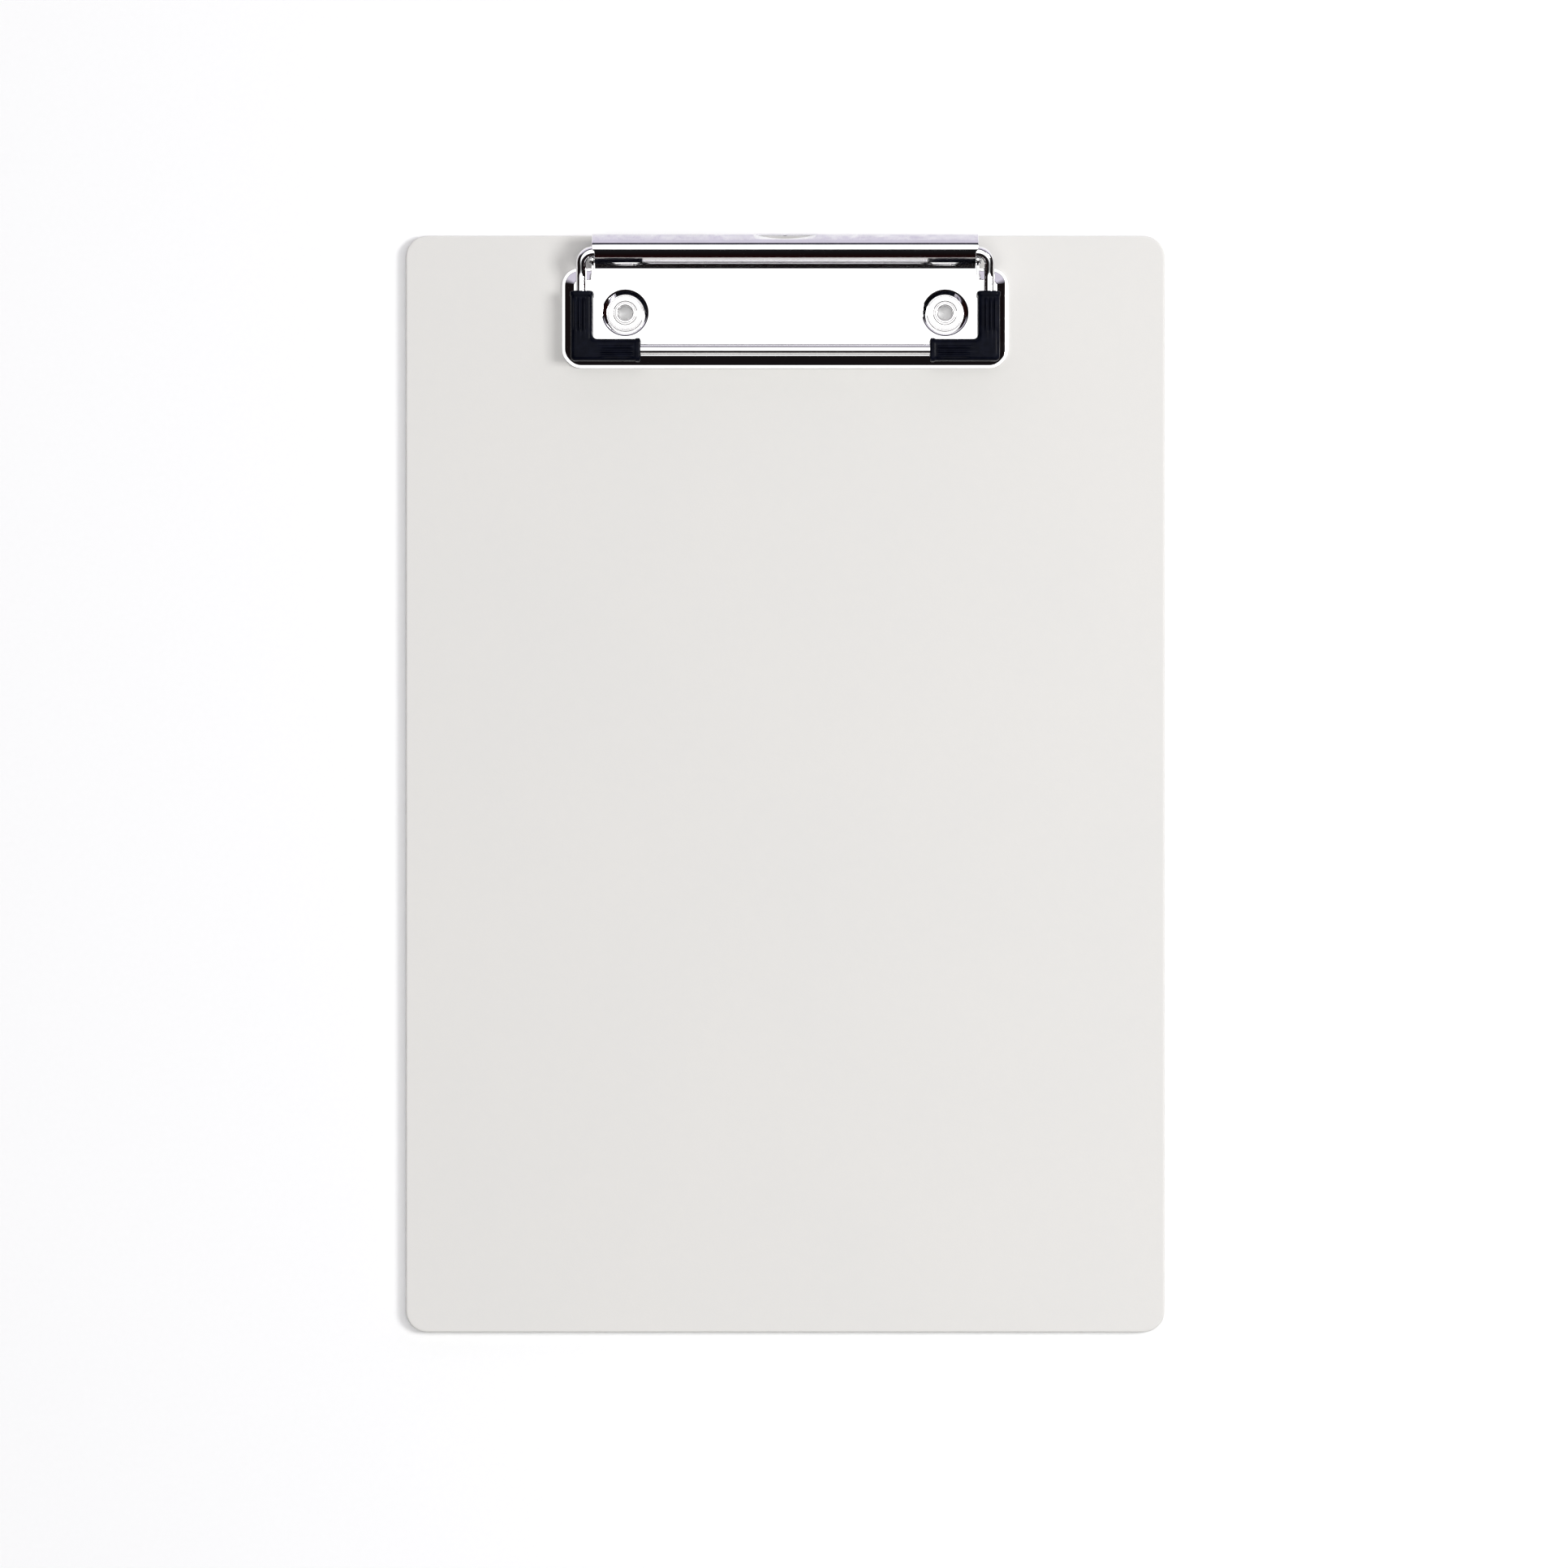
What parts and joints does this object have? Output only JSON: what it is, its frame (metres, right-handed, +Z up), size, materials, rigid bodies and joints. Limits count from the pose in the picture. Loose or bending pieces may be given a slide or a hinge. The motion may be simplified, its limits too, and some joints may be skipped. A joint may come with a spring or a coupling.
{
  "type": "clipboard",
  "caption": "Flat A4 writing board with a low chromed wire clip: a sprung press lever swings a wire frame with rubber corners down onto a riveted base plate.",
  "frame": {"origin": "centre of the board's underside", "axes": "+X to the right, +Y along the board towards the clip end, +Z up from the writing face"},
  "size_m": [0.218, 0.315, 0.0136],
  "materials": {
    "board": "matte, fine mottled grain",
    "plate_chrome": "bright chrome plate on pressed sheet",
    "lever_chrome": "bright chrome plate on rolled sheet",
    "wire_chrome": "bright chrome plate on spring wire",
    "rivet_chrome": "bright chrome plate",
    "washer_steel": "plain zinc-plated steel",
    "pin_steel": "drawn steel rod",
    "spring_steel": "oiled spring wire",
    "rubber": "satin moulded rubber, blue-black"
  },
  "bodies": {
    "board_body": {"board": "board", "base_plate": "plate_chrome", "rivet_left": "rivet_chrome", "rivet_right": "rivet_chrome", "rivet_washer_left": "washer_steel", "rivet_washer_right": "washer_steel", "hinge_pin": "pin_steel", "torsion_spring_left": "spring_steel", "torsion_spring_right": "spring_steel"},
    "clamp_body": {"press_lever": "lever_chrome", "wire_frame": "wire_chrome", "rubber_corner_left": "rubber", "rubber_corner_right": "rubber"}
  },
  "joints": [
    {"name": "clamp_hinge", "type": "hinge", "parent": "board_body", "child": "clamp_body", "pos_m": [0, 0.15035, 0.00723], "axis": [-1, 0, 0], "range_deg": [0, 38], "stiffness_Nm_per_rad": 0.12, "springref_deg": -148.97, "deforming": ["torsion_spring_left", "torsion_spring_right"]}
  ]
}
